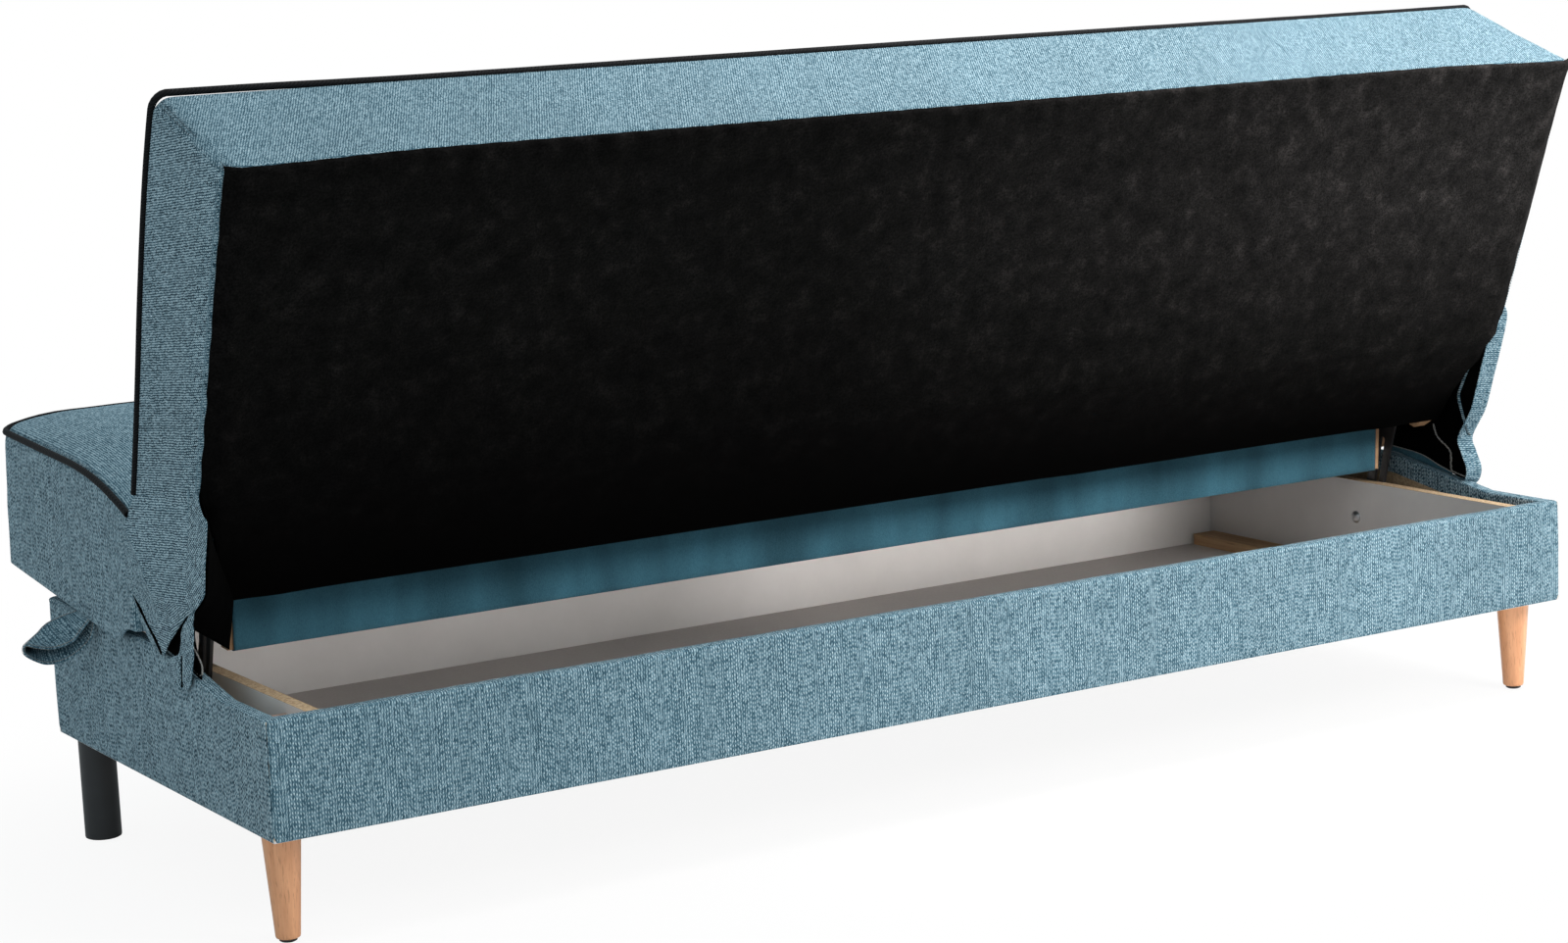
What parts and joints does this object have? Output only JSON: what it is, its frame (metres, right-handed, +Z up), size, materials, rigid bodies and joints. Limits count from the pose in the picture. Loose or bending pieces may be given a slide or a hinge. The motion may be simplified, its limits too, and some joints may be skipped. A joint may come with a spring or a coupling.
{
  "type": "sofa bed",
  "caption": "Armless sofa bed seen from behind, with a bedding box under a seat that lifts, a back that folds flat, black piping, fabric pull straps and round legs.",
  "frame": {"origin": "on the floor, at the middle of the overall outline", "axes": "+X towards the sitter's left end, +Y to the rear, +Z up; the sofa's front faces -Y"},
  "size_m": [2.069, 0.8202, 0.93],
  "materials": {
    "woven_fabric": "heathered weave",
    "black_lining": "non-woven lining",
    "black_piping": "corded piping",
    "pine": "sawn",
    "beech": "satin lacquer",
    "laminated_board": "white laminate on chipboard",
    "chipboard": "raw chipboard",
    "hardboard": "smooth hardboard",
    "black_steel": "satin black",
    "bright_steel": "zinc plated",
    "black_plastic": "matt"
  },
  "bodies": {
    "base": {"end_board_left": "chipboard", "end_board_right": "chipboard", "rear_board": "laminated_board", "front_board": "laminated_board", "partition_left": "laminated_board", "partition_right": "laminated_board", "chest_floor": "hardboard", "floor_battens": "pine", "corner_blocks_rear": "pine", "corner_blocks_front": "pine", "base_cover": "woven_fabric", "leg_rear_left": "beech", "leg_rear_right": "beech", "leg_glides": "black_plastic", "foot_front_left": "black_plastic", "foot_front_right": "black_plastic", "leg_studs": "bright_steel", "bracket_left": "black_steel", "bracket_right": "black_steel", "bracket_bolts": "bright_steel", "bracket_screws": "bright_steel", "back_pivot_pins": "bright_steel", "seat_pivot_pins": "bright_steel"},
    "seat": {"seat_rail_front": "pine", "seat_rail_rear": "pine", "seat_rail_left": "pine", "seat_rail_right": "pine", "seat_bars": "pine", "seat_deck": "hardboard", "seat_cushion": "woven_fabric", "seat_piping": "black_piping", "seat_rear_wrap": "woven_fabric", "seat_dust_cover": "black_lining", "seat_arm_left": "black_steel", "seat_arm_right": "black_steel", "seat_arm_screws": "bright_steel", "pull_strap_left": "woven_fabric", "pull_strap_right": "woven_fabric"},
    "back": {"back_rail_top": "pine", "back_rail_bottom": "pine", "back_rail_left": "pine", "back_rail_right": "pine", "back_bars": "pine", "back_deck": "hardboard", "back_cushion": "woven_fabric", "back_piping": "black_piping", "back_dust_cover": "black_lining", "back_arm_left": "black_steel", "back_arm_right": "black_steel", "back_arm_screws": "bright_steel", "gusset_left": "woven_fabric", "gusset_right": "woven_fabric"}
  },
  "joints": [
    {"name": "back_recline", "type": "hinge", "parent": "base", "child": "back", "pos_m": [0, 0.11355, 0.374], "axis": [-1, 0, 0], "range_deg": [0, 69.5], "deforming": ["gusset_left", "gusset_right"]},
    {"name": "seat_lift", "type": "hinge", "parent": "base", "child": "seat", "pos_m": [0, 0.06155, 0.435], "axis": [-1, 0, 0], "range_deg": [0, 45]}
  ]
}
